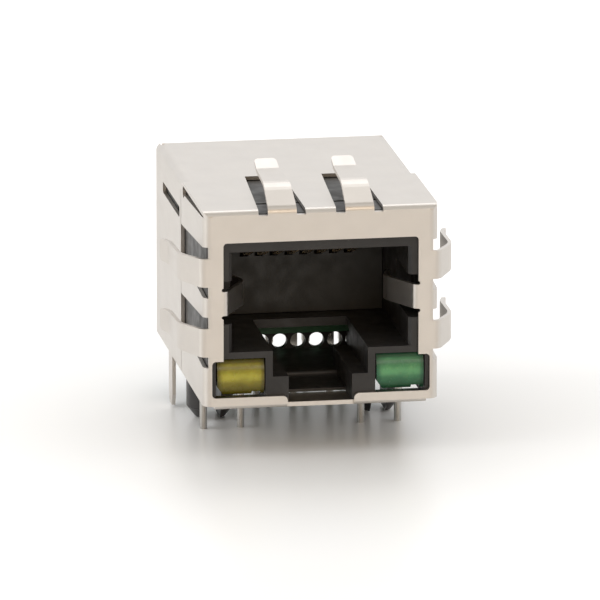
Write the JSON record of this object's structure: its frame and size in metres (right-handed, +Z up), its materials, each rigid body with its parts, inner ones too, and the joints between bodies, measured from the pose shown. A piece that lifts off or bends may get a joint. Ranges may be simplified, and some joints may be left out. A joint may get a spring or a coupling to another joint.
{
  "type": "shielded rj45 board jack with indicator lamps",
  "caption": "Board-mounted shielded network jack with plug port, two indicator lamps, spring fingers round the shield and built-in line transformers behind the contacts.",
  "frame": {"origin": "on the board face, midway between the two locating pegs", "axes": "+X to the right seen from the port, +Y from the port face to the back, +Z up from the board"},
  "size_m": [0.0196, 0.0213, 0.0189],
  "materials": {
    "shield_nickel": "satin nickel plate on folded copper alloy sheet",
    "housing_black": "fine moulded texture",
    "carrier_black": "fine moulded texture",
    "contact_gold": "gold plate on spring bronze",
    "lamp_yellow_epoxy": "tinted translucent epoxy",
    "lamp_green_epoxy": "tinted translucent epoxy",
    "tinned_wire": "bright tin plate",
    "board_laminate": "solder resist on glass laminate",
    "case_black": "fine moulded texture",
    "core_ferrite": "coated ferrite",
    "wire_copper": "enamelled copper wire",
    "wire_green": "enamelled copper wire",
    "chip_black": "glazed chip",
    "capacitor_tan": "fired ceramic"
  },
  "bodies": {
    "root": {"shield": "shield_nickel", "housing": "housing_black", "contact_carrier": "carrier_black", "contact_1": "contact_gold", "contact_2": "contact_gold", "contact_3": "contact_gold", "contact_4": "contact_gold", "contact_5": "contact_gold", "contact_6": "contact_gold", "contact_7": "contact_gold", "contact_8": "contact_gold", "lamp_yellow": "lamp_yellow_epoxy", "lamp_green": "lamp_green_epoxy", "lamp_lead_1": "tinned_wire", "lamp_lead_2": "tinned_wire", "lamp_lead_3": "tinned_wire", "lamp_lead_4": "tinned_wire", "circuit_board": "board_laminate", "transformer_case": "case_black", "signal_pin_1": "tinned_wire", "signal_pin_2": "tinned_wire", "signal_pin_3": "tinned_wire", "signal_pin_4": "tinned_wire", "signal_pin_5": "tinned_wire", "signal_pin_6": "tinned_wire", "signal_pin_7": "tinned_wire", "signal_pin_8": "tinned_wire", "core_transmit": "core_ferrite", "core_receive": "core_ferrite", "core_choke_1": "core_ferrite", "core_choke_2": "core_ferrite", "winding_transmit": "wire_copper", "winding_receive": "wire_copper", "winding_choke_1": "wire_green", "winding_choke_2": "wire_green", "termination_resistors": "chip_black", "termination_capacitor": "capacitor_tan"}
  },
  "joints": []
}
